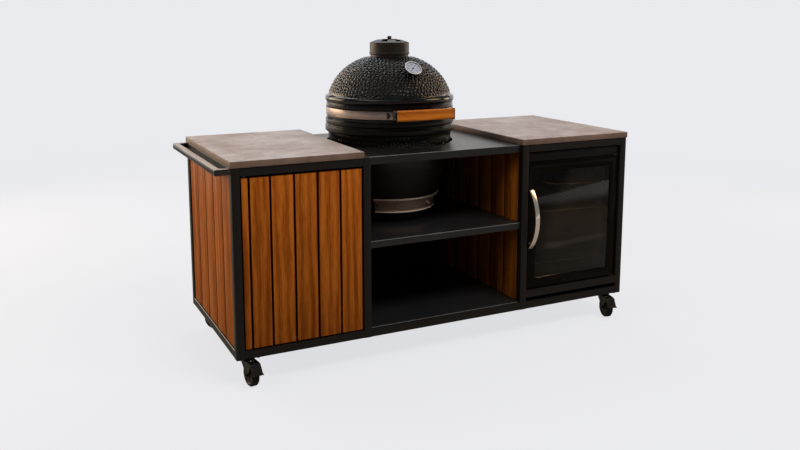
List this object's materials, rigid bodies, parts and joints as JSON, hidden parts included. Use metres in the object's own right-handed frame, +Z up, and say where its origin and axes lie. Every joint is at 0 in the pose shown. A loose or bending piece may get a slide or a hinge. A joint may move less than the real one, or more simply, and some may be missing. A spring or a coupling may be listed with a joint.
{
  "type": "outdoor kitchen",
  "caption": "Outdoor kitchen cart with a ceramic charcoal oven, plank cabinet, glass-door fridge, stone-look worktops and braked casters.",
  "frame": {"origin": "on the floor, under the middle of the whole cart's box", "axes": "+X along the length, from the push rail to the fridge; +Y to the back, so the doors face -Y; +Z up"},
  "size_m": [2.069, 0.895, 1.4264],
  "materials": {
    "black_steel": "satin powder coat",
    "zinc_steel": "zinc plated",
    "stainless": "brushed",
    "bright_wire": "plain",
    "teak": "oiled",
    "handle_wood": "oiled",
    "slab": "matt, fine mottling",
    "fridge_liner": "matt",
    "black_aluminium": "black anodised",
    "dark_glass": "tinted",
    "clear_glass": "clear",
    "black_rubber": "matt",
    "dark_plastic": "matt",
    "black_glaze": "gloss, dimpled",
    "fire_clay": "matt",
    "cast_iron": "matt",
    "felt": "felt",
    "needle_black": "matt"
  },
  "bodies": {
    "cart": {"frame_posts": "black_steel", "frame_rails": "black_steel", "bearer_rails": "black_steel", "push_rail": "black_steel", "back_panels": "black_steel", "cabinet_floor": "black_steel", "bottom_shelf": "black_steel", "fridge_baffle": "black_steel", "middle_shelf": "black_steel", "grill_top": "black_steel", "door_pivots": "zinc_steel", "magnet_catch": "dark_plastic", "side_planks": "teak", "divider_planks": "teak", "plank_battens": "black_steel", "left_worktop": "slab", "right_worktop": "slab", "caster_plates": "zinc_steel", "fridge_cabinet": "fridge_liner", "fridge_racks": "bright_wire", "fridge_compressor": "black_steel", "fridge_hinges": "zinc_steel", "oven_base": "black_glaze", "base_band": "black_steel", "fire_bowl": "fire_clay", "charcoal_grate": "cast_iron", "cooking_grid": "bright_wire", "draft_frame": "stainless", "base_hinge": "black_steel"},
    "cabinet_door": {"door_tray": "black_steel", "door_planks": "teak"},
    "fridge_door": {"fridge_door_frame": "black_aluminium", "fridge_glass": "dark_glass", "fridge_seal": "black_rubber", "fridge_handle": "stainless"},
    "oven_lid": {"lid_dome": "black_glaze", "lid_band": "black_steel", "lid_gasket": "felt", "handle_strap": "stainless", "handle_brackets": "black_steel", "lid_handle": "handle_wood", "lid_hinge": "black_steel", "thermometer_case": "stainless", "thermometer_lens": "clear_glass", "vent_collar": "cast_iron"},
    "vent_cap": {"vent_cap": "cast_iron"},
    "thermometer_needle": {"thermometer_needle": "needle_black"},
    "draft_door": {"draft_door": "stainless"},
    "caster_fork_front_left": {"caster_fork_front_left": "zinc_steel"},
    "caster_wheel_front_left": {"caster_wheel_front_left": "black_rubber"},
    "brake_pedal_front_left": {"brake_pedal_front_left": "dark_plastic"},
    "caster_fork_front_right": {"caster_fork_front_right": "zinc_steel"},
    "caster_wheel_front_right": {"caster_wheel_front_right": "black_rubber"},
    "brake_pedal_front_right": {"brake_pedal_front_right": "dark_plastic"},
    "caster_fork_rear_left": {"caster_fork_rear_left": "zinc_steel"},
    "caster_wheel_rear_left": {"caster_wheel_rear_left": "black_rubber"},
    "brake_pedal_rear_left": {"brake_pedal_rear_left": "dark_plastic"},
    "caster_fork_rear_right": {"caster_fork_rear_right": "zinc_steel"},
    "caster_wheel_rear_right": {"caster_wheel_rear_right": "black_rubber"},
    "brake_pedal_rear_right": {"brake_pedal_rear_right": "dark_plastic"}
  },
  "joints": [
    {"name": "cabinet_door_hinge", "type": "hinge", "parent": "cart", "child": "cabinet_door", "pos_m": [-0.9155, -0.3755, 0.523], "axis": [0, 0, -1], "range_deg": [0, 105]},
    {"name": "fridge_door_hinge", "type": "hinge", "parent": "cart", "child": "fridge_door", "pos_m": [0.9775, -0.3725, 0.53], "axis": [0, 0, 1], "range_deg": [0, 105]},
    {"name": "lid_hinge", "type": "hinge", "parent": "cart", "child": "oven_lid", "pos_m": [-0.0475, 0.4335, 1.041], "axis": [-1, 0, 0], "range_deg": [0, 70]},
    {"name": "vent_cap_turn", "type": "hinge", "parent": "oven_lid", "child": "vent_cap", "pos_m": [-0.0475, 0.0885, 1.383], "axis": [0, 0, 1], "range_deg": [0, 30]},
    {"name": "thermometer_reading", "type": "hinge", "parent": "oven_lid", "child": "thermometer_needle", "pos_m": [-0.0475, -0.16406, 1.28417], "axis": [0, 0.6947, -0.7193], "range_deg": [0, 270]},
    {"name": "draft_slide", "type": "hinge", "parent": "cart", "child": "draft_door", "pos_m": [-0.0475, 0.0885, 0.636], "axis": [0, 0, 1], "range_deg": [0, 34]},
    {"name": "swivel_front_left", "type": "hinge", "parent": "cart", "child": "caster_fork_front_left", "pos_m": [-0.9095, -0.3345, 0.115], "axis": [0, 0, 1], "continuous": true},
    {"name": "spin_front_left", "type": "hinge", "parent": "caster_fork_front_left", "child": "caster_wheel_front_left", "pos_m": [-0.90427, -0.36911, 0.05], "axis": [0.9888, 0.1495, 0], "continuous": true},
    {"name": "brake_front_left", "type": "hinge", "parent": "caster_fork_front_left", "child": "brake_pedal_front_left", "pos_m": [-0.89948, -0.40075, 0.1], "axis": [-0.9888, -0.1495, 0], "range_deg": [0, 15]},
    {"name": "swivel_front_right", "type": "hinge", "parent": "cart", "child": "caster_fork_front_right", "pos_m": [0.9705, -0.3345, 0.115], "axis": [0, 0, 1], "continuous": true},
    {"name": "spin_front_right", "type": "hinge", "parent": "caster_fork_front_right", "child": "caster_wheel_front_right", "pos_m": [0.96239, -0.36855, 0.05], "axis": [0.9728, -0.2317, 0], "continuous": true},
    {"name": "brake_front_right", "type": "hinge", "parent": "caster_fork_front_right", "child": "brake_pedal_front_right", "pos_m": [0.95497, -0.39968, 0.1], "axis": [-0.9728, 0.2317, 0], "range_deg": [0, 15]},
    {"name": "swivel_rear_left", "type": "hinge", "parent": "cart", "child": "caster_fork_rear_left", "pos_m": [-0.9095, 0.3555, 0.115], "axis": [0, 0, 1], "continuous": true},
    {"name": "spin_rear_left", "type": "hinge", "parent": "caster_fork_rear_left", "child": "caster_wheel_rear_left", "pos_m": [-0.8745, 0.3555, 0.05], "axis": [0, 1, 0], "continuous": true},
    {"name": "brake_rear_left", "type": "hinge", "parent": "caster_fork_rear_left", "child": "brake_pedal_rear_left", "pos_m": [-0.8425, 0.3555, 0.1], "axis": [0, -1, 0], "range_deg": [0, 15]},
    {"name": "swivel_rear_right", "type": "hinge", "parent": "cart", "child": "caster_fork_rear_right", "pos_m": [0.9705, 0.3555, 0.115], "axis": [0, 0, 1], "continuous": true},
    {"name": "spin_rear_right", "type": "hinge", "parent": "caster_fork_rear_right", "child": "caster_wheel_rear_right", "pos_m": [0.93761, 0.34353, 0.05], "axis": [0.342, -0.9397, 0], "continuous": true},
    {"name": "brake_rear_right", "type": "hinge", "parent": "caster_fork_rear_right", "child": "brake_pedal_rear_right", "pos_m": [0.90754, 0.33259, 0.1], "axis": [-0.342, 0.9397, 0], "range_deg": [0, 15]}
  ]
}
